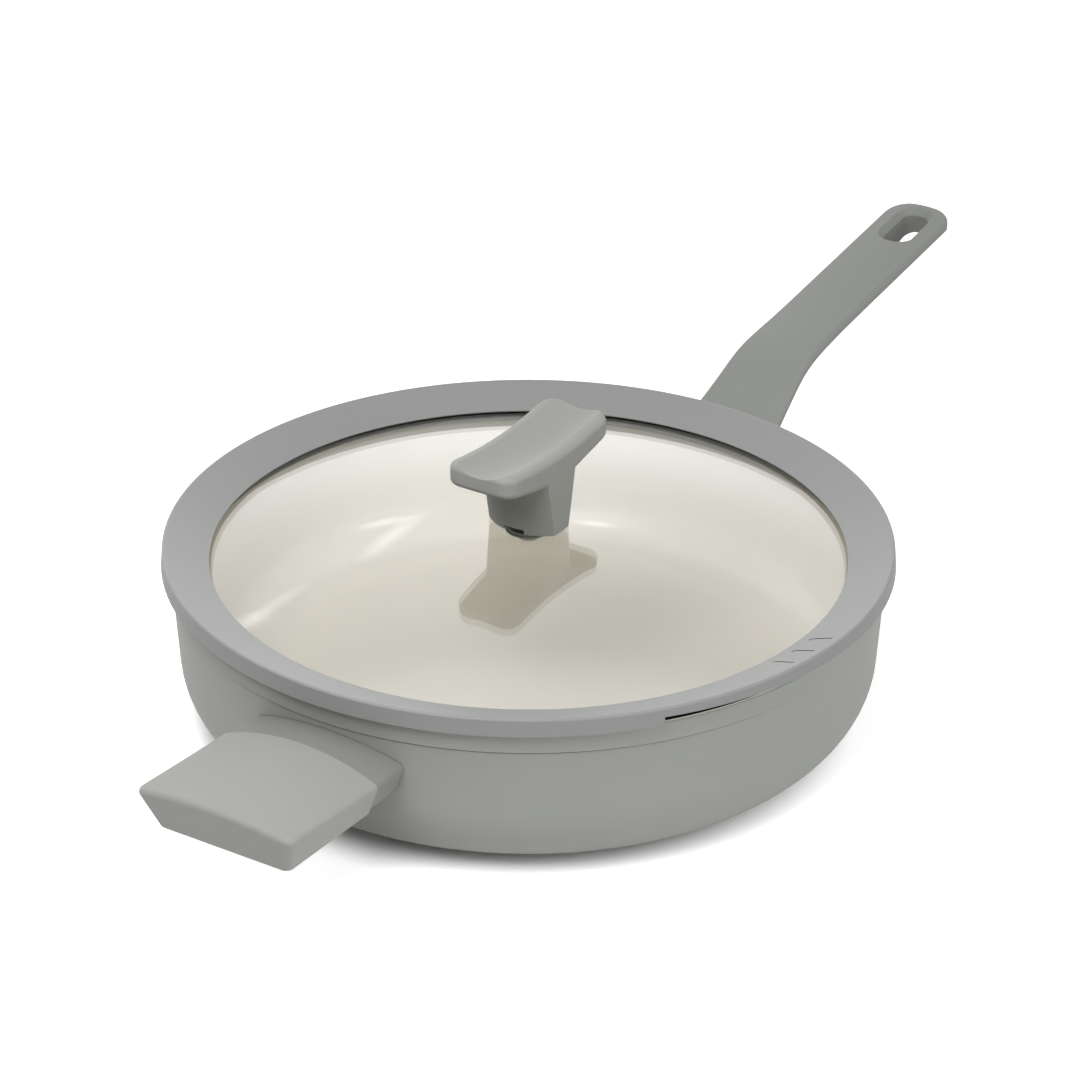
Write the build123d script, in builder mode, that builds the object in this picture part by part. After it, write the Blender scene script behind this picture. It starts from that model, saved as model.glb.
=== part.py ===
from build123d import *
import os
from math import cos, radians, sin, sqrt, tan

# Saute pan with a glass lid, a long handle and a helper handle.
# Millimetres. The origin is the centre of the foot's underside, +Z is up and the long handle
# runs along +X. The helper handle is opposite, along -X.

# Shared values
overrun = 6.0                    # how far a cut runs past what it cuts
section_margin = 0.3             # how far a section runs past the outline that trims it
lying_share = 0.64               # a face lies flat where its normal has this much of Z or more
seat_gap = 0.3                   # between a resting piece on the lid and its seat on the pan
fit_gap = 0.15                   # between pieces that are assembled once and stay put

# Pan body, cast aluminium
pan_inner_radius = 140.0         # at the rim, the 28 cm that such a pan is sold by
rim_height = 66.9
wall = 3.0
wall_draft = 3.7                 # degrees off the vertical
outer_corner_radius = 30.0
crease_drop = 8.4                # from the rim down to the line round the wall
crease_step = 0.7                # how far the rim band stands out over the wall
crease_groove = 0.35             # depth and height of the groove under the band
floor = 5.0                      # foot to cooking surface, lining left out
rim_edge_radius = 0.8

# Stainless disc for induction hobs, pressed into the underside
disc_margin = 5.5                # from its edge to where the corner's curve starts
disc_thickness = 1.2
disc_hole_radius = 2.6
disc_rings = 4                   # of holes
disc_first_ring = 6              # holes in the first ring, and more in each next one

# Ceramic lining, which also covers the top of the rim
lining = 0.5
lining_edge = 0.3                # bare metal left at the outer edge of the rim

# Places along both handles are distances out from the pan's rim, and heights are taken from the rim
root_depth = 21.0                # both handles' blanks start this far inside the rim

# Long handle: centre line of its top, then its outline seen from above
handle_start_drop = 26.7
handle_bend_reach = 51.4
handle_bend_rise = 14.3
handle_reach = 188.0
handle_tip_rise = 33.4
handle_bend_softness = 1.3       # how far the bend's rounding cuts the corner
handle_crown = 1.1               # the top is arched by this over its narrow part
handle_half_width = 15.5
handle_flare_reach = 93.0        # where the handle starts to widen towards its root
handle_flare_half_width = 27.5
handle_depth = 30.0              # all of it lies within this below its top
handle_sections = 18             # drawn along it, evenly spaced
handle_side = 3.3                # height of its upright sides
handle_end_bow = 2.0
handle_end_radius = 11.0
handle_edge_radius = 1.8
handle_tuck_radius = 1.2         # between its sides and its underside

# The long handle's underside: flanks that slant in from its sides to a flat keel
keel_start_depth = 18.0          # below the sides
keel_bend_reach = 65.0
keel_bend_depth = 11.5
keel_tip_depth = 9.5
keel_slope_share = 1.05          # of the flanks
keel_radius = 5.0
keel_end = 16.0                  # length over which the keel runs out at the tip
keel_end_share = 0.3             # and how much of it is left there

# Hanging slot
slot_end = 19.4                  # from its centre to the handle's tip
slot_length = 26.0
slot_width = 12.5
slot_corner_radius = 5.0
slot_dish = 3.0                  # width and depth of the dished rim round the slot
slot_dish_slant = 45             # degrees

# Helper handle. Its outline is drawn on a plane above it and leans in on the way down.
# Its top is arched, more at the wall than at the tip.
helper_reach = 72.3
helper_half_width = 39.9
helper_tip_half_width = 38.9
helper_plane_drop = 6.9          # the outline's plane
helper_start_drop = 10.2
helper_start_arch = 10.1
helper_tip_drop = 10.7
helper_tip_arch = 3.0
helper_arch_half = 36.0          # how far out the arch falls by that much
helper_depth = 25.5              # from the outline's plane to the underside
helper_draft = 20.0              # degrees, sides and front
helper_corner_radius = 4.2
helper_edge_radius = 2.2
ferrule_edge_radius = 3.0
helper_belly_radius = 3.0

# Ferrules between the wall and the grips
ferrule_reach = 14.0
ferrule_step = 0.9               # how far the grips stand proud of the ferrules

# Lugs cast on the wall, which the handles are screwed to
lug_depth = 23.0                 # they start this far inside the rim, so that lug and wall are one casting
lug_length = 54.0
lug_height = 8.0
lug_edge_radius = 1.5
long_lug_width = 16.0
long_lug_drop = 34.7             # of its middle at the start, from where it rises with the handle
helper_lug_width = 40.0
helper_lug_drop = 19.9

# Handle screws and their washers
screw_radius = 2.5
screw_head_radius = 4.6
screw_head_height = 3.0
screw_head_edge = 1.2
screw_margin = 8.0               # from a handle screw to its lug's end
screw_spacing = 26.0             # across the helper handle
screw_reach = 6.0                # into the lug
grip_floor = 3.0                 # between the washer and the lug
washer_radius = 5.0
washer_thickness = 0.8
cross_length = 5.2               # cross recess in each screw head
cross_width = 1.1
cross_depth = 1.6

# Lid: silicone ring. It rests on the rim, hangs over it outside and has a flange inside.
ring_overhang = 3.6
ring_lean = 0.6                  # its outer face leans in on its way up
ring_height = 7.35               # of the outer face
ring_width = 18.5
ring_dish = 6.4                  # how far its top falls inwards
ring_edge_radius = 0.9
flange_gap = 1.3
flange_depth = 8.0               # below the rim
flange_width = 7.2
flange_lip = 0.8                 # how far the flange's underside rises inwards

# Lid: glass, held in the ring's groove
glass_back = 1.7                 # silicone behind its edge
glass_thickness = 4.0
glass_lip = 1.4                  # from its face up to the ring's inner edge
lip_edge = 0.45                  # thickness of the ring's inner edge, which stands off the glass
lip_reach = 3.5                  # how far in it starts to do so
glass_rise = 14.3                # of the dome, over the ring's inner edge
glass_hole_radius = 5.5
glass_edge_radius = 1.0

# Straining notch in the overhang, opposite which the ring has channels and three marks
notch_rise = 3.4                 # over the ring's underside at its start, from where it runs out
notch_start = -126.7             # degrees about the pan's axis
notch_sweep = 61.2               # degrees
notch_bevel = 1.7                # at its start
channel_margin = 4.0             # degrees, from the notch's start to the first channel
channel_rise = 0.8               # how far the channels reach over the ring's underside
channel_width = 2.4
channel_depth = 1.2
channel_count = 9
channel_pitch = 5.0              # degrees
mark_margin = 6.0                # from the ring's inner edge
mark_length = 8.6
mark_width = 0.75
mark_depth = 0.7
mark_hook = 2.2
mark_hook_turn = 32.0            # degrees
mark_start = -101.8              # degrees about the pan's axis
mark_pitch = 5.0                 # degrees
mark_count = 3

# Knob
knob_rise = 38.2                 # of the lips at the plate's ends, over the glass
knob_half_length = 37.3
knob_half_width = 15.6
knob_corner_radius = 7.0
knob_lip = 4.2                   # width of the shoulder along the dished top
trough_drop = 3.1                # across the plate
trough_sag = 3.5                 # along the plate
plate_end_depth = 9.8            # from the lips to the plate's underside
plate_root_depth = 16.0          # and to where it would meet the neck
neck_top_half = 7.6              # half of the neck's thickness under the plate
neck_foot_half = 5.0
neck_fillet = 5.5
boss_half = 11.2                 # the neck bulges out to this in its middle
boss_draft = 8.5                 # degrees, widening upwards
knob_edge_radius = 2.8
window_width = 9.5               # small window through the foot, where the gasket shows
window_height = 2.0

# Stack on the lid's axis
gasket_margin = 2.0              # from the knob's boss in to the gasket
insert_radius = 4.2
insert_length = 15.0
insert_end = 1.5                 # from the screw's end to the insert's
cup_radius = 8.2
cup_thickness = 1.0
cup_edge = 0.6
seal_radius = 9.4
seal_thickness = 1.2

os.makedirs("parts", exist_ok=True)


def save(piece, name):
    """Label a finished piece and write it."""
    piece.label = name
    export_step(piece, f"parts/{name}.step")


# Values that follow from the ones above: the pan
draft_share = tan(radians(wall_draft))
outer_radius = pan_inner_radius + wall
wall_radius = outer_radius - crease_step
crease_height = rim_height - crease_drop
wall_foot_radius = wall_radius - crease_height * draft_share
rim_top = rim_height + lining
disc_radius = wall_foot_radius - outer_corner_radius - disc_margin

# The handles
handle_start = outer_radius - root_depth
handle_start_height = rim_height - handle_start_drop
handle_bend = outer_radius + handle_bend_reach
handle_bend_height = rim_height + handle_bend_rise
handle_tip = outer_radius + handle_reach
handle_tip_height = rim_height + handle_tip_rise
handle_flare_start = outer_radius + handle_flare_reach
root_slope_share = (handle_bend_height - handle_start_height) / (handle_bend - handle_start)
tip_slope_share = (handle_tip_height - handle_bend_height) / (handle_tip - handle_bend)
helper_tip = outer_radius + helper_reach
ferrule_end = outer_radius + ferrule_reach
lug_start = outer_radius - lug_depth

# The lid
ring_seat = rim_top + seat_gap
overhang_radius = outer_radius + ring_overhang
flange_outer_radius = pan_inner_radius - lining - flange_gap
flange_inner_radius = flange_outer_radius - flange_width
flange_height = rim_top - flange_depth
ring_outer_radius = overhang_radius - ring_lean
ring_outer_height = ring_seat + ring_height
ring_inner_radius = ring_outer_radius - ring_width
ring_inner_height = ring_outer_height - ring_dish
ring_slope_share = ring_dish / ring_width
glass_radius = flange_outer_radius - glass_back
glass_top = ring_inner_height - glass_lip + glass_rise
glass_dome_radius = (ring_inner_radius**2 + glass_rise**2) / (2 * glass_rise)
knob_height = glass_top + knob_rise


def dome_height(radius, drop=0.0):
    """Height of the glass's upper face at a radius, or of a face that lies drop below it."""
    sphere = glass_dome_radius - drop
    return glass_top - glass_dome_radius + sqrt(sphere**2 - radius**2)


def cavity_section(inset):
    """Half section of the pan's inside, drawn in by inset, up past the rim."""
    top = rim_height + overrun
    foot_radius = pan_inner_radius - (rim_height - floor) * draft_share - inset
    top_radius = foot_radius + (top - floor - inset) * draft_share
    with BuildSketch(Plane.XZ) as section:
        with BuildLine():
            Polyline(
                (0, floor + inset),
                (foot_radius, floor + inset),
                (top_radius, top),
                (0, top),
                close=True,
            )
        make_face()
        corner = section.vertices().group_by(Axis.Y)[0].sort_by(Axis.X)[-1:]
        fillet(corner, outer_corner_radius - wall - inset)
    return section.sketch


# Each lug starts on its own plane, whose Y axis points across the lug's height
long_lug = Plane((lug_start, 0, rim_height - long_lug_drop), x_dir=(0, 1, 0), z_dir=(1, 0, root_slope_share))
helper_lug = Plane((-lug_start, 0, rim_height - helper_lug_drop), x_dir=(0, -1, 0), z_dir=(-1, 0, 0))
long_across = (0,)
helper_across = (-screw_spacing / 2, screw_spacing / 2)
screw_place = lug_length - screw_margin


def lug_bar(lug, width, gap):
    """One lug's solid, or with a gap the hole that it goes through."""
    with BuildPart() as bar:
        with BuildSketch(lug):
            RectangleRounded(width + 2 * gap, lug_height + 2 * gap, lug_edge_radius + gap)
        extrude(amount=lug_length + gap)
    return bar.part


def rods(lug, across, radius, low, high):
    """Round rods across a lug at its screws' places, from low to high over the lug's lower face."""
    with BuildPart() as group:
        for place in across:
            start = lug.from_local_coords((place, low - lug_height / 2, screw_place))
            with BuildSketch(Plane(start, x_dir=lug.x_dir, z_dir=lug.y_dir)):
                Circle(radius)
            extrude(amount=high - low)
    return group.part


# Pan body
cavity = cavity_section(0)
lined_cavity = cavity_section(lining)
long_lug_bar = lug_bar(long_lug, long_lug_width, 0)
helper_lug_bar = lug_bar(helper_lug, helper_lug_width, 0)
long_thread = rods(long_lug, long_across, screw_radius, 0, screw_reach)
helper_threads = rods(helper_lug, helper_across, screw_radius, 0, screw_reach)
with BuildPart() as pan_body:
    with BuildSketch(Plane.XZ) as outside:
        with BuildLine():
            Polyline(
                (0, 0),
                (wall_foot_radius, 0),
                (wall_radius, crease_height - crease_groove),
                (wall_radius - crease_groove, crease_height),
                (outer_radius, crease_height + crease_groove),
                (outer_radius, rim_height),
                (0, rim_height),
                close=True,
            )
        make_face()
        fillet(outside.vertices().group_by(Axis.Y)[0].sort_by(Axis.X)[-1:], outer_corner_radius)
    revolve(axis=Axis.Z)
    pan_outside = pan_body.part
    add([long_lug_bar, helper_lug_bar])
    add(cavity)
    revolve(axis=Axis.Z, mode=Mode.SUBTRACT)
    fillet(pan_body.edges().filter_by(GeomType.CIRCLE).group_by(Axis.Z)[-1], rim_edge_radius)
    add([long_thread, helper_threads], mode=Mode.SUBTRACT)
    # recess for the disc
    with BuildSketch():
        Circle(disc_radius + fit_gap)
    extrude(amount=disc_thickness, mode=Mode.SUBTRACT)
save(pan_body.part, "pan_body")

# Ceramic lining
with BuildPart() as ceramic_lining:
    add(cavity)
    revolve(axis=Axis.Z)
    with BuildSketch(Plane.XY.offset(rim_height)):
        Circle(outer_radius - lining_edge)
    extrude(amount=lining)
    with BuildSketch(Plane.XY.offset(rim_top)):
        Circle(outer_radius + overrun)
    extrude(amount=2 * overrun, mode=Mode.SUBTRACT)
    add(lined_cavity)
    revolve(axis=Axis.Z, mode=Mode.SUBTRACT)
save(ceramic_lining.part, "ceramic_lining")

# Induction disc, with rings of holes that the casting fills
with BuildPart() as induction_plate:
    with BuildSketch():
        Circle(disc_radius)
        for ring in range(1, disc_rings + 1):
            with PolarLocations(disc_radius * ring / (disc_rings + 1), disc_first_ring * ring):
                Circle(disc_hole_radius, mode=Mode.SUBTRACT)
    extrude(amount=disc_thickness)
save(induction_plate.part, "induction_plate")


def side_edges(blank, sign):
    """Edges between a handle's sides and its top (sign 1) or underside (sign -1), root face left out."""
    faces = blank.faces() - blank.faces().sort_by(lambda face: abs(face.center().X))[:1]
    top = faces.filter_by(lambda face: face.normal_at().Z > lying_share)
    belly = faces.filter_by(lambda face: face.normal_at().Z < -lying_share)
    sides = faces - top - belly
    chosen = top if sign > 0 else belly
    return chosen.edges() & sides.edges()


def handle_top(x):
    """Height of the long handle's top over its middle line: two slopes with a soft bend between them."""
    root = handle_bend_height + (x - handle_bend) * root_slope_share
    tip = handle_bend_height + (x - handle_bend) * tip_slope_share
    return (root + tip) / 2 - sqrt(((root - tip) / 2) ** 2 + handle_bend_softness**2)


def handle_half(x):
    """Half of the long handle's width, which flares along an arc towards the root."""
    flare = handle_flare_half_width - handle_half_width
    length = handle_flare_start - handle_start
    radius = (length**2 + flare**2) / (2 * flare)
    into = max(0, handle_flare_start - x)
    return handle_half_width + radius - sqrt(radius**2 - into**2)


def keel_depth(x):
    """Depth of the long handle's keel below its sides, less outwards and running out at the tip."""
    bend = outer_radius + keel_bend_reach
    if x < bend:
        share = (x - handle_start) / (bend - handle_start)
        return keel_start_depth + (keel_bend_depth - keel_start_depth) * share
    share = (x - bend) / (handle_tip - bend)
    ending = max(0, 1 - (handle_tip - x) / keel_end)
    depth = keel_bend_depth + (keel_tip_depth - keel_bend_depth) * share
    return depth * (1 - (1 - keel_end_share) * ending**2)


def handle_section(x, inset):
    """Upright section of the long handle, a little wider than its outline: crown, sides and keel."""
    half = handle_half(x) - inset + section_margin
    top = handle_top(x) - inset
    edge = top - handle_crown * half / handle_half_width
    side = edge - handle_side + inset
    keel = side - keel_depth(x)
    keel_half = half - keel_depth(x) / keel_slope_share
    with BuildSketch(Plane.YZ.offset(x)) as section:
        with BuildLine():
            crown = ThreePointArc((-half, edge), (0, top), (half, edge))
            Polyline(
                crown @ 1,
                (half, side),
                (keel_half, keel),
                (-keel_half, keel),
                (-half, side),
                crown @ 0,
            )
        make_face()
        fillet(section.vertices().group_by(Axis.Y)[0], keel_radius)
    return section.sketch


def long_handle_blank(inset):
    """The long handle's whole form, from inside the wall to its tip, drawn in by inset."""
    pitch = (handle_tip - handle_start) / handle_sections
    places = [handle_start + pitch * i for i in range(handle_sections + 1)]
    sections = [handle_section(x, inset) for x in places]
    end = handle_tip - handle_end_bow - inset
    half = handle_half_width - inset
    root_half = handle_flare_half_width - inset
    with BuildPart() as blank:
        add(sections)
        loft()
        with BuildSketch() as outline:
            with BuildLine():
                SagittaArc((end, -half), (end, half), -handle_end_bow)
                for side in (1, -1):
                    Line((end, side * half), (handle_flare_start, side * half))
                    TangentArc(
                        (handle_flare_start, side * half),
                        (handle_start, side * root_half),
                        tangent=(-1, 0),
                    )
                Line((handle_start, -root_half), (handle_start, root_half))
            make_face()
            fillet(outline.vertices().group_by(Axis.X)[-1], handle_end_radius)
        extrude(amount=2 * handle_tip_height, mode=Mode.INTERSECT)
    return blank.part


# Long handle: ferrule against the wall, then the grip
long_handle = long_handle_blank(0)
long_root = long_handle_blank(ferrule_step)
ferrule_cut = Plane.YZ.offset(ferrule_end)
long_lug_hole = lug_bar(long_lug, long_lug_width, fit_gap)
long_clearance = rods(long_lug, long_across, screw_radius + fit_gap, -grip_floor, 0)
long_counterbore = rods(long_lug, long_across, washer_radius + fit_gap, -handle_depth, -grip_floor)
with BuildPart() as long_handle_ferrule:
    add(long_root)
    split(bisect_by=ferrule_cut, keep=Keep.BOTTOM)
    edges = side_edges(long_handle_ferrule, 1)
    fillet(edges - edges.filter_by(ferrule_cut), handle_edge_radius - ferrule_step)
    add([pan_outside, long_lug_hole], mode=Mode.SUBTRACT)
save(long_handle_ferrule.part, "long_handle_ferrule")

slot_centre = (handle_tip - slot_end, 0, handle_tip_height - slot_end * tip_slope_share)
slot_plane = Plane(slot_centre, x_dir=(1, 0, tip_slope_share), z_dir=(-tip_slope_share, 0, 1))
with BuildPart() as long_handle_grip:
    add(long_handle)
    fillet(side_edges(long_handle_grip, -1), handle_tuck_radius)
    fillet(side_edges(long_handle_grip, 1), handle_edge_radius)
    split(bisect_by=ferrule_cut, keep=Keep.TOP)
    add([long_lug_hole, long_clearance, long_counterbore], mode=Mode.SUBTRACT)
    with BuildSketch(slot_plane):
        RectangleRounded(slot_length, slot_width, slot_corner_radius)
    extrude(amount=handle_depth, both=True, mode=Mode.SUBTRACT)
    with BuildSketch(slot_plane):
        RectangleRounded(
            slot_length + 2 * slot_dish,
            slot_width + 2 * slot_dish,
            slot_corner_radius + slot_dish,
        )
    extrude(amount=-slot_dish, taper=slot_dish_slant, mode=Mode.SUBTRACT)
save(long_handle_grip.part, "long_handle_grip")


def helper_blank(inset, edge_radius):
    """The helper handle's whole form, from inside the wall to its tip, drawn in by inset."""
    with BuildPart() as blank:
        for place, rim_drop, arch in (
            (handle_start - overrun, helper_start_drop, helper_start_arch),
            (helper_tip + overrun, helper_tip_drop, helper_tip_arch),
        ):
            arch_radius = (helper_arch_half**2 + arch**2) / (2 * arch)
            half = helper_half_width + overrun
            drop = arch_radius - sqrt(arch_radius**2 - half**2)
            crest = rim_height - rim_drop - inset
            with BuildSketch(Plane.YZ.offset(-place)):
                with BuildLine():
                    arch = ThreePointArc((-half, crest - drop), (0, crest), (half, crest - drop))
                    Polyline(arch @ 1, (half, 0), (-half, 0), arch @ 0)
                make_face()
        loft(ruled=True)
        with BuildSketch(Plane.XY.offset(rim_height - helper_plane_drop)) as outline:
            with BuildLine():
                Polyline(
                    (-handle_start, inset - helper_half_width),
                    (-ferrule_end, inset - helper_half_width),
                    (-helper_tip, inset - helper_tip_half_width),
                    (-helper_tip, helper_tip_half_width - inset),
                    (-ferrule_end, helper_half_width - inset),
                    (-handle_start, helper_half_width - inset),
                    close=True,
                )
            make_face()
        extrude(amount=inset - helper_depth, taper=helper_draft, mode=Mode.INTERSECT)
        end_edges = blank.faces().sort_by(Axis.X)[0].edges().sort_by(Axis.Y)
        fillet([end_edges[0], end_edges[-1]], helper_corner_radius)
        fillet(side_edges(blank, -1), helper_belly_radius)
        fillet(side_edges(blank, 1), edge_radius)
    return blank.part


# Helper handle: ferrule and grip, as on the long handle
helper = helper_blank(0, helper_edge_radius)
helper_root = helper_blank(ferrule_step, ferrule_edge_radius)
helper_lug_hole = lug_bar(helper_lug, helper_lug_width, fit_gap)
helper_clearance = rods(helper_lug, helper_across, screw_radius + fit_gap, -grip_floor, 0)
helper_counterbores = rods(helper_lug, helper_across, washer_radius + fit_gap, -helper_depth, -grip_floor)
with BuildPart() as helper_ferrule:
    add(helper_root)
    split(bisect_by=Plane.YZ.offset(-ferrule_end), keep=Keep.TOP)
    add([pan_outside, helper_lug_hole], mode=Mode.SUBTRACT)
save(helper_ferrule.part, "helper_ferrule")

with BuildPart() as helper_grip:
    add(helper)
    split(bisect_by=Plane.YZ.offset(-ferrule_end), keep=Keep.BOTTOM)
    add([helper_lug_hole, helper_clearance, helper_counterbores], mode=Mode.SUBTRACT)
save(helper_grip.part, "helper_grip")

def screw(bearing, reach):
    """A pan-head screw whose head bears on a plane from below, its shank going up through it."""
    with BuildPart() as piece:
        with BuildSketch(bearing):
            Circle(screw_head_radius)
        extrude(amount=-screw_head_height)
        fillet(piece.faces().sort_by(Axis(bearing.origin, bearing.z_dir))[0].edges(), screw_head_edge)
        with BuildSketch(bearing):
            Circle(screw_radius - fit_gap)
        extrude(amount=reach)
        with BuildSketch(bearing.offset(-screw_head_height)):
            Rectangle(cross_length, cross_width)
            Rectangle(cross_width, cross_length)
        extrude(amount=cross_depth, mode=Mode.SUBTRACT)
    return piece.part


# Handle screws and washers, one of each in the long handle and a pair in the helper
head_top = -grip_floor - washer_thickness
shank_length = screw_reach - head_top - fit_gap
screw_sets = ((long_lug, long_across, "long_handle", ""), (helper_lug, helper_across, "helper", "s"))
for lug, across, handle, ending in screw_sets:
    washer_discs = rods(lug, across, washer_radius, head_top, -grip_floor)
    washer_holes = rods(lug, across, screw_radius + fit_gap, head_top - overrun, overrun)
    bearings = [lug.from_local_coords((place, head_top - lug_height / 2, screw_place)) for place in across]
    set_screws = [screw(Plane(origin, lug.x_dir, lug.y_dir), shank_length) for origin in bearings]
    with BuildPart() as washers:
        add(washer_discs)
        add(washer_holes, mode=Mode.SUBTRACT)
    save(washers.part, f"{handle}_washer{ending}")
    with BuildPart() as screws:
        add(set_screws)
    save(screws.part, f"{handle}_screw{ending}")


def glass_section(grow):
    """Half section of the domed glass, or with grow the pocket that holds it."""
    inner = glass_hole_radius - grow
    outer = glass_radius + grow
    middle = (inner + outer) / 2
    low = glass_thickness + grow
    with BuildSketch(Plane.XZ) as section:
        with BuildLine():
            upper = ThreePointArc(*[(r, dome_height(r, -grow)) for r in (inner, middle, outer)])
            lower = ThreePointArc(*[(r, dome_height(r, low)) for r in (outer, middle, inner)])
            Line(upper @ 1, lower @ 0)
            Line(lower @ 1, upper @ 0)
        make_face()
        fillet(section.vertices().group_by(Axis.X)[-1], glass_edge_radius)
    return section.sketch


# Lid glass
with BuildPart() as lid_glass:
    add(glass_section(0))
    revolve(axis=Axis.Z)
save(lid_glass.part, "lid_glass")

# Straining notch: a part of the overhang's ring under a slope that falls from the notch's start to its end
notch_end = notch_start + notch_sweep
start_out = Vector(cos(radians(notch_start)), sin(radians(notch_start)), 0)
end_out = Vector(cos(radians(notch_end)), sin(radians(notch_end)), 0)
start_along = Vector(start_out.Y, -start_out.X, 0)
start_foot = start_out * flange_outer_radius + Vector(0, 0, ring_seat)
chord = (start_out - end_out) * overhang_radius
rise = chord.normalized() * notch_rise / chord.length
notch_slope = Plane(end_out * overhang_radius + Vector(0, 0, ring_seat), z_dir=Vector(0, 0, 1) - rise)
with BuildPart() as notch:
    with BuildSketch(Plane.XZ.rotated((0, 0, notch_start))):
        with Locations((flange_outer_radius, ring_seat + notch_rise)):
            Rectangle(
                overhang_radius - flange_outer_radius + overrun,
                ring_seat + notch_rise - flange_height,
                align=(Align.MIN, Align.MAX),
            )
    revolve(axis=Axis.Z, revolution_arc=notch_sweep)
    split(bisect_by=notch_slope, keep=Keep.BOTTOM)

# Silicone ring round the glass
with BuildPart() as lid_ring:
    with BuildSketch(Plane.XZ) as section:
        with BuildLine():
            Polyline(
                (ring_inner_radius, ring_inner_height),
                (ring_outer_radius, ring_outer_height),
                (overhang_radius, ring_seat),
                (flange_outer_radius, ring_seat),
                (flange_outer_radius, flange_height),
                (flange_inner_radius, flange_height + flange_lip),
                (flange_inner_radius, dome_height(flange_inner_radius, glass_thickness / 2)),
                (ring_inner_radius, dome_height(ring_inner_radius, glass_thickness / 2)),
                close=True,
            )
        make_face()
        fillet(section.vertices().group_by(Axis.Y)[-1], ring_edge_radius)
    revolve(axis=Axis.Z)
    add(glass_section(fit_gap))
    revolve(axis=Axis.Z, mode=Mode.SUBTRACT)
    # the lip's inner edge stands off the glass
    lip_start = ring_inner_radius + lip_reach
    with BuildSketch(Plane.XZ):
        with BuildLine():
            Polyline(
                (ring_inner_radius - overrun, ring_inner_height - lip_edge),
                (ring_inner_radius, ring_inner_height - lip_edge),
                (lip_start, dome_height(lip_start)),
                (ring_inner_radius - overrun, dome_height(ring_inner_radius, glass_thickness)),
                close=True,
            )
        make_face()
    revolve(axis=Axis.Z, mode=Mode.SUBTRACT)
    # straining notch in the overhang: highest at its start, where its end is bevelled
    add(notch.part, mode=Mode.SUBTRACT)
    with BuildSketch(Plane(start_foot, x_dir=start_along, z_dir=start_out)):
        with BuildLine():
            near = notch_bevel / 2
            Polyline((-near, -notch_bevel - near), (notch_bevel + near, near), (-near, near), close=True)
        make_face()
    extrude(amount=ring_overhang + overrun, mode=Mode.SUBTRACT)
    # straining channels up the flange
    for count in range(channel_count):
        angle = notch_start + channel_margin + count * channel_pitch
        with BuildSketch(Plane.XY.offset(flange_height - overrun).rotated((0, 0, angle))):
            with Locations((flange_outer_radius - channel_depth, 0)):
                Rectangle(channel_depth + overrun, channel_width, align=(Align.MIN, Align.CENTER))
        extrude(amount=ring_seat + channel_rise - flange_height + overrun, mode=Mode.SUBTRACT)
    # three marks over the notch, each a line with a short hook at its inner end
    mark_inner_radius = ring_inner_radius + mark_margin
    mark_height = ring_inner_height + mark_margin * ring_slope_share
    for count in range(mark_count):
        angle = radians(mark_start + count * mark_pitch)
        out = Vector(cos(angle), sin(angle), 0)
        slope = Vector(out.X, out.Y, ring_slope_share)
        foot = out * mark_inner_radius + Vector(0, 0, mark_height)
        across = Vector(-out.Y, out.X, 0)
        with BuildSketch(Plane(foot, x_dir=slope, z_dir=slope.cross(across))):
            with BuildLine():
                stroke = Line((0, 0), (mark_length, 0))
                PolarLine((0, 0), mark_hook, angle=180 + mark_hook_turn)
            trace(line_width=mark_width)
        extrude(amount=mark_depth, both=True, mode=Mode.SUBTRACT)
save(lid_ring.part, "lid_ring")

# Knob: a T in side view, with a dished finger plate and a round boss in its neck
knob_foot = glass_top + fit_gap
plate_root_height = knob_height - plate_root_depth
lip_middle = knob_height - trough_sag
sag_radius = (knob_half_length**2 + trough_sag**2) / (2 * trough_sag)
lip_place = knob_half_width - knob_lip
with BuildPart() as neck:
    # its front and back bulge over its whole width, and widen upwards
    with BuildSketch(Plane.XY.offset(knob_foot)):
        with BuildLine():
            front = ThreePointArc(
                (neck_foot_half, -knob_half_width),
                (boss_half, 0),
                (neck_foot_half, knob_half_width),
            )
            mirror(front, about=Plane.YZ)
            Line((-neck_foot_half, knob_half_width), (neck_foot_half, knob_half_width))
            Line((-neck_foot_half, -knob_half_width), (neck_foot_half, -knob_half_width))
        make_face()
    extrude(amount=plate_root_height + neck_fillet / 2 - knob_foot, taper=-boss_draft)
    with BuildSketch():
        Rectangle(4 * boss_half, 2 * knob_half_width)
    extrude(amount=knob_height, mode=Mode.INTERSECT)

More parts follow.
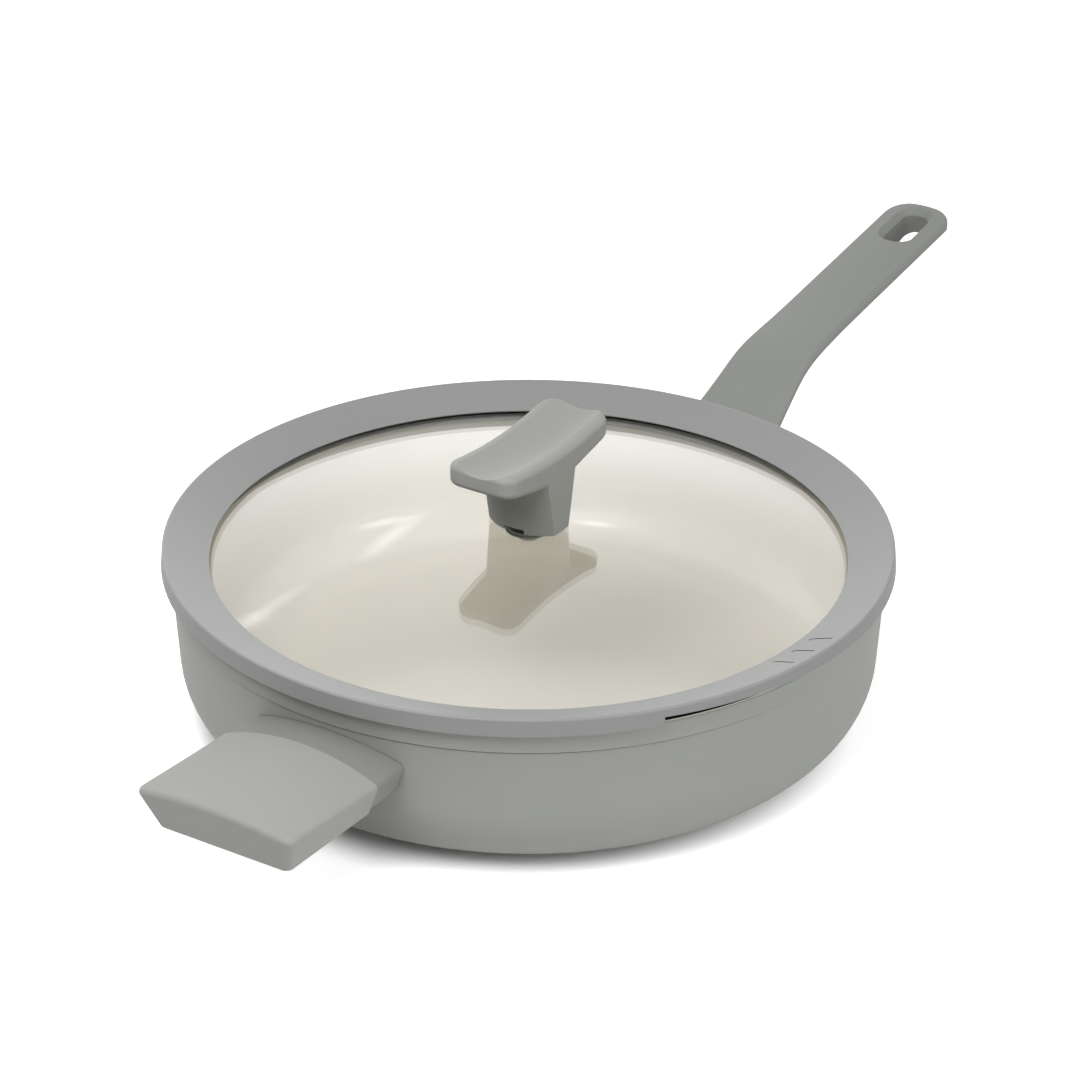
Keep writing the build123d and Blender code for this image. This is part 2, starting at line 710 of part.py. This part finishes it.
with BuildPart() as knob:
    with BuildSketch(Plane.XZ) as side_view:
        with BuildLine():
            Polyline(
                (0, knob_foot),
                (neck_foot_half, knob_foot),
                (neck_top_half, plate_root_height),
                (knob_half_length, knob_height - plate_end_depth),
                (knob_half_length, knob_height + overrun),
                (0, knob_height + overrun),
                close=True,
            )
        make_face()
        fillet(side_view.vertices().filter_by_position(Axis.X, neck_top_half, neck_top_half), neck_fillet)
        mirror(about=Plane.YZ)
    extrude(amount=knob_half_width, both=True)
    with BuildSketch():
        RectangleRounded(2 * knob_half_length, 2 * knob_half_width, knob_corner_radius)
    extrude(amount=knob_height + 2 * overrun, mode=Mode.INTERSECT)
    # the top sags along the plate, round an axis that lies across it
    sag_height = lip_middle + sag_radius
    sag_axis = Axis((0, 0, sag_height), (0, 1, 0))
    reach = knob_half_width + overrun
    with BuildSketch(Plane.YZ):
        with Locations((0, sag_height)):
            Rectangle(2 * reach, sag_radius, align=(Align.CENTER, Align.MAX))
    revolve(axis=sag_axis, mode=Mode.SUBTRACT)
    across = knob.edges().filter_by(Axis.Y)
    left_sharp = knob.edges().group_by(Axis.Z)[0] + knob.edges().filter_by(Axis.Z)
    left_sharp += across - across.group_by(Axis.X)[0] - across.group_by(Axis.X)[-1]
    fillet(knob.edges() - left_sharp, knob_edge_radius)
    # dish between the shoulders, round the same axis
    dish_radius = (lip_place**2 + trough_drop**2) / (2 * trough_drop)
    dish_reach = lip_place + section_margin
    dish_height = lip_middle - trough_drop + dish_radius - sqrt(dish_radius**2 - dish_reach**2)
    with BuildSketch(Plane.YZ):
        with BuildLine():
            dish = ThreePointArc(
                (-dish_reach, dish_height),
                (0, lip_middle - trough_drop),
                (dish_reach, dish_height),
            )
            Polyline(dish @ 1, (dish_reach, sag_height), (-dish_reach, sag_height), dish @ 0)
        make_face()
    revolve(axis=sag_axis, mode=Mode.SUBTRACT)
    add(neck.part)
    # pocket for the gasket, hole for the insert, and the small window through the foot
    with BuildSketch(Plane.XY.offset(knob_foot)):
        Circle(boss_half - gasket_margin + fit_gap)
        Rectangle(2 * boss_half + overrun, window_width)
    extrude(amount=window_height, mode=Mode.SUBTRACT)
    with BuildSketch(Plane.XY.offset(knob_foot)):
        Circle(insert_radius + fit_gap)
    extrude(amount=window_height + insert_length + fit_gap, mode=Mode.SUBTRACT)
save(knob.part, "knob")

# Threaded brass insert in the knob
insert_foot = knob_foot + window_height
with BuildPart() as knob_insert:
    with BuildSketch(Plane.XY.offset(insert_foot)):
        Circle(insert_radius)
        Circle(screw_radius, mode=Mode.SUBTRACT)
    extrude(amount=insert_length)
save(knob_insert.part, "knob_insert")

# Rubber gasket between the knob and the glass
with BuildPart() as knob_gasket:
    with BuildSketch(Plane.XY.offset(glass_top)):
        Circle(boss_half - gasket_margin)
        Circle(screw_radius + fit_gap, mode=Mode.SUBTRACT)
    extrude(amount=insert_foot - glass_top)
save(knob_gasket.part, "knob_gasket")

# Plastic bush that keeps the screw off the glass
seal_top = dome_height(seal_radius, glass_thickness)
with BuildPart() as lid_hole_bush:
    with BuildSketch(Plane.XY.offset(seal_top)):
        Circle(glass_hole_radius - fit_gap)
        Circle(screw_radius + fit_gap, mode=Mode.SUBTRACT)
    extrude(amount=glass_top - seal_top)
save(lid_hole_bush.part, "lid_hole_bush")

# Silicone washer under the glass, and the cup washer under that
with BuildPart() as under_gasket:
    with BuildSketch(Plane.XY.offset(seal_top - seal_thickness)):
        Circle(seal_radius)
        Circle(screw_radius + fit_gap, mode=Mode.SUBTRACT)
    extrude(amount=seal_thickness)
save(under_gasket.part, "under_gasket")

cup_top = seal_top - seal_thickness
with BuildPart() as lid_washer:
    with BuildSketch(Plane.XY.offset(cup_top)):
        Circle(cup_radius)
        Circle(screw_radius + fit_gap, mode=Mode.SUBTRACT)
    extrude(amount=-cup_thickness)
    fillet(lid_washer.edges().group_by(Axis.Z)[0].sort_by(SortBy.LENGTH)[-1], cup_edge)
save(lid_washer.part, "lid_washer")

# Screw that clamps the knob to the glass
lid_screw_top = insert_foot + insert_length - insert_end
lid_head_top = cup_top - cup_thickness
lid_screw = screw(Plane.XY.offset(lid_head_top), lid_screw_top - lid_head_top)
save(lid_screw, "lid_screw")
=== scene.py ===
from math import cos, radians, sin

import bpy
from mathutils import Matrix, Vector

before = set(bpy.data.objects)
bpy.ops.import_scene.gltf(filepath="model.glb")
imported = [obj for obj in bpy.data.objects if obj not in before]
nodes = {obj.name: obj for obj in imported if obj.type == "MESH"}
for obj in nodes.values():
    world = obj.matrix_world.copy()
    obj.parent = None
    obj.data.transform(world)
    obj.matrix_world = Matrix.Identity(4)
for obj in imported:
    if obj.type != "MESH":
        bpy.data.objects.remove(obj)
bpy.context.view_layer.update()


# Camera, where the photograph was taken from: in front of the helper handle and to its right, looking
# down a little. It aims at the pan's axis, at the height of the lid's ring.
camera_distance = 1.7
camera_azimuth = radians(-147)
camera_elevation = radians(27.628)
camera_aim = Vector((0, 0, 0.075))
camera_pan = radians(0.152)
camera_tilt = radians(-0.053)
camera_roll = radians(0.219)
film_width = 36
lens_length = 142
farthest_seen = 50

camera_data = bpy.data.cameras.new("camera")
camera_data.sensor_width = film_width
camera_data.lens = lens_length
camera_data.clip_end = farthest_seen
camera = bpy.data.objects.new("camera", camera_data)
bpy.context.scene.collection.objects.link(camera)
bpy.context.scene.camera = camera

away = Vector((
    cos(camera_elevation) * cos(camera_azimuth),
    cos(camera_elevation) * sin(camera_azimuth),
    sin(camera_elevation),
))
sight = -away
side = sight.cross(Vector((0, 0, 1))).normalized()
above = side.cross(sight)
sight = (
    sight * cos(camera_pan) * cos(camera_tilt)
    + side * sin(camera_pan) * cos(camera_tilt)
    + above * sin(camera_tilt)
)
side = sight.cross(Vector((0, 0, 1))).normalized()
above = side.cross(sight)
camera_right = side * cos(camera_roll) + above * sin(camera_roll)
camera_up = above * cos(camera_roll) - side * sin(camera_roll)
turn = Matrix((camera_right, camera_up, -sight)).transposed().to_4x4()
camera.matrix_world = Matrix.Translation(camera_aim + away * camera_distance) @ turn


# Surroundings: an evenly white studio, which lights nothing by itself. Mirror reflections see it brighter
# than the camera does, as lit walls would be.
white = (1, 1, 1, 1)
seen_strength = 1.0
mirrored_strength = 1.8


def math_node(tree, operation, first, second=None, third=None, clamp=False):
    """A Math node on one to three values or sockets, and its output."""
    node = tree.nodes.new("ShaderNodeMath")
    node.operation = operation
    node.use_clamp = clamp
    for slot, value in enumerate((first, second, third)):
        if value is None:
            continue
        if isinstance(value, (int, float)):
            node.inputs[slot].default_value = value
        else:
            tree.links.new(value, node.inputs[slot])
    return node.outputs["Value"]


def ray_kind(tree, *names):
    """1 on rays of any of the named kinds, 0 on the rest."""
    path = tree.nodes.new("ShaderNodeLightPath")
    kind = path.outputs[names[0]]
    for name in names[1:]:
        kind = math_node(tree, "MAXIMUM", kind, path.outputs[name])
    return kind


def strength_by_ray(tree, seen, mirrored):
    """The seen strength for the camera, also through the glass, the mirrored one in reflections, else 0."""
    strength = tree.nodes.new("ShaderNodeMix")
    strength.inputs["B"].default_value = mirrored
    looked_at = ray_kind(tree, "Is Camera Ray", "Is Transmission Ray")
    tree.links.new(math_node(tree, "MULTIPLY", looked_at, seen), strength.inputs["A"])
    tree.links.new(ray_kind(tree, "Is Glossy Ray"), strength.inputs["Factor"])
    return strength.outputs["Result"]


studio = bpy.data.worlds.new("studio")
bpy.context.scene.world = studio
studio.use_nodes = True
studio_tree = studio.node_tree
studio_tree.nodes.clear()
walls = studio_tree.nodes.new("ShaderNodeBackground")
walls.inputs["Color"].default_value = white
walls_out = studio_tree.nodes.new("ShaderNodeOutputWorld")
walls_strength = strength_by_ray(studio_tree, seen_strength, mirrored_strength)
studio_tree.links.new(walls_strength, walls.inputs["Strength"])
studio_tree.links.new(walls.outputs["Background"], walls_out.inputs["Surface"])


# Floor: a large white table. Away from the pan's foot it glows for the camera, and more where no soft box
# lights it, so that it is white round the shadow.
floor_size = 12.0
floor_white = (0.85, 0.85, 0.85, 1)
floor_glow = 0.7
far_floor_glow = 0.4
floor_mirrored_glow = 0.4
foot_shadow_center = (-0.006, 0.002, 0)
foot_shadow_radius = 0.117
foot_shadow_reach = 0.140
lit_floor_radius = 0.5
dark_floor_radius = 2.0


def stage_material(name):
    """A material for the studio's own pieces with an empty node tree, and the tree."""
    material = bpy.data.materials.new(name)
    material.use_nodes = True
    material.node_tree.nodes.clear()
    return material, material.node_tree


def glowing_surface(tree, surface, strength):
    """The surface with a white glow of the given strength added, as the material's output."""
    glow = tree.nodes.new("ShaderNodeEmission")
    both = tree.nodes.new("ShaderNodeAddShader")
    end = tree.nodes.new("ShaderNodeOutputMaterial")
    tree.links.new(strength, glow.inputs["Strength"])
    tree.links.new(surface.outputs["BSDF"], both.inputs[0])
    tree.links.new(glow.outputs["Emission"], both.inputs[1])
    tree.links.new(both.outputs["Shader"], end.inputs["Surface"])


floor_material, floor_tree = stage_material("studio_floor")
floor_place = floor_tree.nodes.new("ShaderNodeTexCoord")
floor_radius = floor_tree.nodes.new("ShaderNodeVectorMath")
floor_radius.operation = "DISTANCE"
floor_radius.inputs[1].default_value = foot_shadow_center
floor_tree.links.new(floor_place.outputs["Object"], floor_radius.inputs[0])
# Painted shade: the glow fades out in a ring round the pan's foot, which deepens the real shadow there.
floor_glows = []
for inner, outer, glow in (
    (foot_shadow_radius, foot_shadow_reach, floor_glow),
    (lit_floor_radius, dark_floor_radius, far_floor_glow),
):
    floor_fade = floor_tree.nodes.new("ShaderNodeMapRange")
    floor_fade.interpolation_type = "SMOOTHSTEP"
    floor_fade.inputs["From Min"].default_value = inner
    floor_fade.inputs["From Max"].default_value = outer
    floor_fade.inputs["To Min"].default_value = 0
    floor_fade.inputs["To Max"].default_value = glow
    floor_tree.links.new(floor_radius.outputs["Value"], floor_fade.inputs["Value"])
    floor_glows.append(floor_fade.outputs["Result"])
floor_seen_glow = math_node(floor_tree, "ADD", *floor_glows)
floor_paint = floor_tree.nodes.new("ShaderNodeBsdfDiffuse")
floor_paint.inputs["Color"].default_value = floor_white
glowing_surface(floor_tree, floor_paint, strength_by_ray(floor_tree, floor_seen_glow, floor_mirrored_glow))

bpy.ops.mesh.primitive_plane_add(size=floor_size, location=(0, 0, 0))
floor = bpy.context.object
floor.name = "studio_floor"
floor.data.materials.append(floor_material)


# Soft boxes: large square lamps round the pan and above it, and a small one over the helper handle. They
# light everything but the glass, which would mirror their square outlines.
pan_foot = (0, 0, 0)
lamp_height = 0.712
soft_box_width = 1.1

# name, place, aim, width and power of each soft box
soft_boxes = (
    ("soft_box_near_right", (-0.366, -1.723, lamp_height), pan_foot, soft_box_width, 11.5),
    ("soft_box_right", (0.500, -1.690, lamp_height), pan_foot, soft_box_width, 6.8),
    ("soft_box_behind", (1.478, 0.960, lamp_height), pan_foot, soft_box_width, 5.5),
    ("soft_box_left", (0.366, 1.723, lamp_height), pan_foot, soft_box_width, 9.3),
    ("soft_box_near_left", (-1.275, 0.893, 1.090), pan_foot, soft_box_width, 3.5),
    ("soft_box_above", (-0.2, 0.1, 1.85), pan_foot, soft_box_width, 5.9),
    ("soft_box_over_helper", (-0.5, -0.05, 0.75), (-0.05, 0, 0.05), 0.5, 4.8),
)
lit_pieces = bpy.data.collections.new("lit_pieces")
lit_pieces.objects.link(floor)
for name in nodes:
    if name != "lid_glass":
        lit_pieces.objects.link(nodes[name])
for name, place, aim, width, power in soft_boxes:
    lamp = bpy.data.lights.new(name, "AREA")
    lamp.shape = "SQUARE"
    lamp.size = width
    lamp.energy = power
    soft_box = bpy.data.objects.new(name, lamp)
    bpy.context.scene.collection.objects.link(soft_box)
    soft_box.location = place
    soft_box.rotation_euler = (Vector(aim) - Vector(place)).to_track_quat("-Z", "Y").to_euler()
    soft_box.visible_camera = False
    soft_box.light_linking.receiver_collection = lit_pieces


# Soft spots: small far lamps that only mirror reflections see. They show as short soft streaks of light
# in the glass.
spot_strength = 1.9

# place, half of the width and height, and turn in degrees, of each spot
spots = (
    ((1.67, 1.52, 1.29), 0.23, 0.045, 56),
    ((1.67, 1.52, 1.15), 0.10, 0.04, 10),
    ((1.16, 1.69, 1.57), 0.075, 0.08, 0),
    ((1.21, 1.655, 1.52), 0.19, 0.045, 28),
    ((1.95, 1.064, 1.23), 0.075, 0.035, -8),
)
spot_material, spot_tree = stage_material("soft_spot")
spot_place = spot_tree.nodes.new("ShaderNodeTexCoord")
spot_fade = spot_tree.nodes.new("ShaderNodeTexGradient")
spot_fade.gradient_type = "SPHERICAL"
spot_tree.links.new(spot_place.outputs["Object"], spot_fade.inputs["Vector"])
spot_glow = math_node(spot_tree, "MULTIPLY", spot_fade.outputs["Fac"], spot_strength)
glowing_surface(spot_tree, spot_tree.nodes.new("ShaderNodeBsdfTransparent"), spot_glow)
for count, (place, half_width, half_height, spot_turn) in enumerate(spots):
    bpy.ops.mesh.primitive_plane_add(size=2, location=place)
    spot = bpy.context.object
    spot.name = f"soft_spot_{count}"
    spot.scale = (half_width, half_height, 1)
    facing = Vector(place).to_track_quat("Z", "Y").to_matrix()
    spot.rotation_euler = (facing @ Matrix.Rotation(radians(spot_turn), 3, "Z")).to_euler()
    spot.data.materials.append(spot_material)
    spot.visible_camera = False
    spot.visible_diffuse = False
    spot.visible_transmission = False
    spot.visible_shadow = False


# Pan body: cast aluminium under a warm grey soft-touch coating. The coating has a fine even grain,
# and is rubbed a shade paler along the edges.
def new_group(name, inputs, outputs):
    """An empty shader node group with named sockets, and its two end nodes."""
    group = bpy.data.node_groups.new(name, "ShaderNodeTree")
    for label, kind, value in inputs:
        socket = group.interface.new_socket(label, in_out="INPUT", socket_type=kind)
        socket.default_value = value
    for label, kind in outputs:
        group.interface.new_socket(label, in_out="OUTPUT", socket_type=kind)
    return group, group.nodes.new("NodeGroupInput"), group.nodes.new("NodeGroupOutput")


def edge_wear_group():
    """Edge: 1 on sharp edges, falling to 0 within the width, broken up by noise."""
    group, start, end = new_group(
        "edge_wear",
        (("Width", "NodeSocketFloat", 0.0006), ("Noise Scale", "NodeSocketFloat", 300.0)),
        (("Edge", "NodeSocketFloat"),),
    )
    edge_gain = 6.0
    patch_gain = 1.2
    least_patch = 0.2
    rounded = group.nodes.new("ShaderNodeBevel")
    rounded.samples = 4
    group.links.new(start.outputs["Width"], rounded.inputs["Radius"])
    true_normal = group.nodes.new("ShaderNodeNewGeometry")
    dot = group.nodes.new("ShaderNodeVectorMath")
    dot.operation = "DOT_PRODUCT"
    group.links.new(rounded.outputs["Normal"], dot.inputs[0])
    group.links.new(true_normal.outputs["Normal"], dot.inputs[1])
    place = group.nodes.new("ShaderNodeTexCoord")
    noise = group.nodes.new("ShaderNodeTexNoise")
    noise.inputs["Detail"].default_value = 3
    group.links.new(place.outputs["Object"], noise.inputs["Vector"])
    group.links.new(start.outputs["Noise Scale"], noise.inputs["Scale"])
    edge = math_node(group, "SUBTRACT", 1.0, dot.outputs["Value"])
    edge = math_node(group, "MULTIPLY", edge, edge_gain, clamp=True)
    broken = math_node(group, "MULTIPLY_ADD", noise.outputs["Fac"], patch_gain, least_patch, clamp=True)
    edge = math_node(group, "MULTIPLY", edge, broken)
    group.links.new(edge, end.inputs["Edge"])
    return group


def grain_group():
    """Grain: fine even noise round 0.5. Cloud: broad soft patches round 0.5."""
    group, start, end = new_group(
        "grain",
        (("Grain Scale", "NodeSocketFloat", 2500.0), ("Cloud Scale", "NodeSocketFloat", 14.0)),
        (("Grain", "NodeSocketFloat"), ("Cloud", "NodeSocketFloat")),
    )
    place = group.nodes.new("ShaderNodeTexCoord")
    for socket, detail in (("Grain", 2), ("Cloud", 4)):
        noise = group.nodes.new("ShaderNodeTexNoise")
        noise.inputs["Detail"].default_value = detail
        group.links.new(place.outputs["Object"], noise.inputs["Vector"])
        group.links.new(start.outputs[socket + " Scale"], noise.inputs["Scale"])
        group.links.new(noise.outputs["Fac"], end.inputs[socket])
    return group


def painted_shade_group():
    """Open: 1 on open surfaces, falling by the depth in grooves no wider than the reach: painted shade."""
    group, start, end = new_group(
        "painted_shade",
        (("Reach", "NodeSocketFloat", 0.0008), ("Depth", "NodeSocketFloat", 0.8)),
        (("Open", "NodeSocketFloat"),),
    )
    shade = group.nodes.new("ShaderNodeAmbientOcclusion")
    shade.samples = 8
    group.links.new(start.outputs["Reach"], shade.inputs["Distance"])
    hidden = math_node(group, "SUBTRACT", 1.0, shade.outputs["AO"])
    hidden = math_node(group, "MULTIPLY", hidden, start.outputs["Depth"])
    group.links.new(math_node(group, "SUBTRACT", 1.0, hidden, clamp=True), end.inputs["Open"])
    return group


edge_wear = edge_wear_group()
grain = grain_group()
painted_shade = painted_shade_group()


def placed_group(tree, group, values):
    """A node group placed in a material, with its own values."""
    placed = tree.nodes.new("ShaderNodeGroup")
    placed.node_tree = group
    for label, value in values.items():
        placed.inputs[label].default_value = value
    return placed


def coated_material(
    name, color, worn_color, roughness, spread, bump, scale, wear_width,
    metallic=0.0, shade_reach=0.0008, shade_depth=0.6,
):
    """Grain, soft patches, paler edges and painted shade in grooves, for coatings, plastics, rubber and
    metals.
    """
    cloud_roughness = 0.12
    grain_roughness = 0.3
    grain_height = 0.0002
    material = bpy.data.materials.new(name)
    material.use_nodes = True
    tree = material.node_tree
    shader = tree.nodes["Principled BSDF"]
    shader.inputs["Metallic"].default_value = metallic
    wear = placed_group(tree, edge_wear, {"Width": wear_width})
    texture = placed_group(tree, grain, {"Grain Scale": scale})
    # Painted shade: ambient occlusion darkens the colour in grooves and tight corners.
    painted_shade_mask = placed_group(tree, painted_shade, {"Reach": shade_reach, "Depth": shade_depth})
    cloud_mix = tree.nodes.new("ShaderNodeMix")
    cloud_mix.data_type = "RGBA"
    cloud_mix.inputs["A"].default_value = tuple(part * (1 - spread) for part in color) + (1,)
    cloud_mix.inputs["B"].default_value = tuple(part * (1 + spread) for part in color) + (1,)
    tree.links.new(texture.outputs["Cloud"], cloud_mix.inputs["Factor"])
    wear_mix = tree.nodes.new("ShaderNodeMix")
    wear_mix.data_type = "RGBA"
    wear_mix.inputs["B"].default_value = worn_color + (1,)
    tree.links.new(wear.outputs["Edge"], wear_mix.inputs["Factor"])
    tree.links.new(cloud_mix.outputs["Result"], wear_mix.inputs["A"])
    groove_shade = tree.nodes.new("ShaderNodeVectorMath")
    groove_shade.operation = "SCALE"
    tree.links.new(wear_mix.outputs["Result"], groove_shade.inputs[0])
    tree.links.new(painted_shade_mask.outputs["Open"], groove_shade.inputs["Scale"])
    tree.links.new(groove_shade.outputs["Vector"], shader.inputs["Base Color"])
    least_roughness = roughness - cloud_roughness / 2
    sheen = math_node(tree, "MULTIPLY_ADD", texture.outputs["Cloud"], cloud_roughness, least_roughness)
    sheen = math_node(tree, "MULTIPLY_ADD", texture.outputs["Grain"], grain_roughness * bump, sheen)
    tree.links.new(sheen, shader.inputs["Roughness"])
    relief = tree.nodes.new("ShaderNodeBump")
    relief.inputs["Strength"].default_value = bump
    relief.inputs["Distance"].default_value = grain_height
    tree.links.new(texture.outputs["Grain"], relief.inputs["Height"])
    tree.links.new(relief.outputs["Normal"], shader.inputs["Normal"])
    return material


def cover(node_name, material):
    """Give a carried-over piece its material."""
    slots = nodes[node_name].data.materials
    slots.clear()
    slots.append(material)


grey_coating = coated_material(
    "grey_coating",
    color=(0.304, 0.312, 0.293),
    worn_color=(0.36, 0.36, 0.345),
    roughness=0.62,
    spread=0.03,
    bump=0.25,
    scale=2600,
    wear_width=0.0005,
)
cover("pan_body", grey_coating)


# Ceramic lining: a sprayed cream ceramic coat, fired on the inside and over the rim. It is smooth and
# glossy, with a faint unevenness, and painted shade darkens it close under the lid's ring.
cream_ceramic = coated_material(
    "cream_ceramic",
    color=(0.665, 0.618, 0.523),
    worn_color=(0.71, 0.67, 0.59),
    roughness=0.22,
    spread=0.02,
    bump=0.004,
    scale=1600,
    wear_width=0.0005,
    shade_reach=0.006,
    shade_depth=1.5,
)
cover("ceramic_lining", cream_ceramic)


# Induction disc: punched stainless steel, pressed into the casting's underside and turned flat with it.
# It is plain, with the faint uneven sheen of turned steel.
plain_steel = coated_material(
    "plain_steel",
    color=(0.58, 0.57, 0.55),
    worn_color=(0.70, 0.69, 0.67),
    roughness=0.34,
    spread=0.04,
    bump=0.2,
    scale=1500,
    wear_width=0.0003,
    metallic=1.0,
)
cover("induction_plate", plain_steel)


# Ferrules: cast collars between the pan's wall and the two grips. Their colour is the pan's coating
# painted a shade darker: painted shade, for the shade they sit in next to the wall.
painted_shade_ferrule_coating = coated_material(
    "painted_shade_ferrule_coating",
    color=(0.210, 0.214, 0.205),
    worn_color=(0.27, 0.27, 0.26),
    roughness=0.6,
    spread=0.03,
    bump=0.25,
    scale=2600,
    wear_width=0.0005,
)
cover("long_handle_ferrule", painted_shade_ferrule_coating)
cover("helper_ferrule", painted_shade_ferrule_coating)


# Long handle's grip: moulded phenolic with a soft-touch coat, screwed to its lug. Its colour is the
# helper handle's coat painted a shade darker: painted shade, for the lesser light that reaches it.
painted_shade_grip_coating = coated_material(
    "painted_shade_grip_coating",
    color=(0.235, 0.243, 0.229),
    worn_color=(0.31, 0.315, 0.30),
    roughness=0.66,
    spread=0.03,
    bump=0.3,
    scale=3000,
    wear_width=0.0005,
)
cover("long_handle_grip", painted_shade_grip_coating)


# Helper handle's grip: the same moulding and soft-touch coat, held to its lug by two screws from
# below.
grip_coating = coated_material(
    "grip_coating",
    color=(0.300, 0.303, 0.286),
    worn_color=(0.36, 0.36, 0.34),
    roughness=0.66,
    spread=0.03,
    bump=0.3,
    scale=3000,
    wear_width=0.0005,
)
cover("helper_grip", grip_coating)


# Screws and washers of the handles: small stainless parts, plain and a little dull. They clamp the grips
# to the lugs of the wall.
screw_steel = coated_material(
    "screw_steel",
    color=(0.50, 0.49, 0.47),
    worn_color=(0.66, 0.65, 0.63),
    roughness=0.38,
    spread=0.06,
    bump=0.3,
    scale=4000,
    wear_width=0.0002,
    metallic=1.0,
)
for name in ("long_handle_screw", "long_handle_washer", "helper_screws", "helper_washers"):
    cover(name, screw_steel)


# Lid ring: moulded silicone, matte, wrapped round the glass's edge. Its straining notch and its short
# marks are moulded in, with painted shade darkening them against its open surface.
grey_silicone = coated_material(
    "grey_silicone",
    color=(0.236, 0.242, 0.237),
    worn_color=(0.28, 0.285, 0.278),
    roughness=0.5,
    spread=0.025,
    bump=0.2,
    scale=2200,
    wear_width=0.0004,
    shade_reach=0.002,
    shade_depth=1.4,
)
cover("lid_ring", grey_silicone)


# Lid glass: clear tempered glass, pressed to a shallow dome and ground smooth at its edge. Light for the
# soft surfaces below goes straight through it, a little dimmed.
glass_tint = (0.97, 0.972, 0.968, 1)
glass_light_tint = (0.93, 0.94, 0.935, 1)
glass_index = 1.5

clear_glass = bpy.data.materials.new("clear_glass")
clear_glass.use_nodes = True
glass_tree = clear_glass.node_tree
glass_shader = glass_tree.nodes["Principled BSDF"]
glass_shader.inputs["Transmission Weight"].default_value = 1
glass_shader.inputs["IOR"].default_value = glass_index
glass_shader.inputs["Base Color"].default_value = glass_tint
glass_shader.inputs["Roughness"].default_value = 0.0
glass_clear = glass_tree.nodes.new("ShaderNodeBsdfTransparent")
glass_clear.inputs["Color"].default_value = glass_light_tint
glass_mix = glass_tree.nodes.new("ShaderNodeMixShader")
glass_tree.links.new(ray_kind(glass_tree, "Is Shadow Ray", "Is Diffuse Ray"), glass_mix.inputs["Fac"])
glass_tree.links.new(glass_shader.outputs["BSDF"], glass_mix.inputs[1])
glass_tree.links.new(glass_clear.outputs["BSDF"], glass_mix.inputs[2])
glass_tree.links.new(glass_mix.outputs["Shader"], glass_tree.nodes["Material Output"].inputs["Surface"])
cover("lid_glass", clear_glass)


# Knob: moulded and coated like the helper handle's grip. A threaded brass insert in its neck takes the
# lid's screw, and a black rubber gasket seats it on the glass.
black_rubber = coated_material(
    "black_rubber",
    color=(0.02, 0.02, 0.02),
    worn_color=(0.05, 0.05, 0.05),
    roughness=0.6,
    spread=0.1,
    bump=0.2,
    scale=3000,
    wear_width=0.0003,
)
brass = coated_material(
    "brass",
    color=(0.72, 0.53, 0.24),
    worn_color=(0.85, 0.68, 0.40),
    roughness=0.32,
    spread=0.05,
    bump=0.2,
    scale=3000,
    wear_width=0.0003,
    metallic=1.0,
)
cover("knob", grip_coating)
cover("knob_insert", brass)
cover("knob_gasket", black_rubber)


# Lid's screw: stainless steel, with a cup washer and a silicone gasket under the glass. A bush of milky
# plastic keeps it off the edge of the glass's hole.
milky_plastic = coated_material(
    "milky_plastic",
    color=(0.72, 0.72, 0.69),
    worn_color=(0.8, 0.8, 0.78),
    roughness=0.4,
    spread=0.03,
    bump=0.1,
    scale=2000,
    wear_width=0.0003,
)
cover("lid_screw", screw_steel)
cover("lid_washer", screw_steel)
cover("under_gasket", grey_silicone)
cover("lid_hole_bush", milky_plastic)


bpy.context.scene.view_settings.view_transform = "Standard"
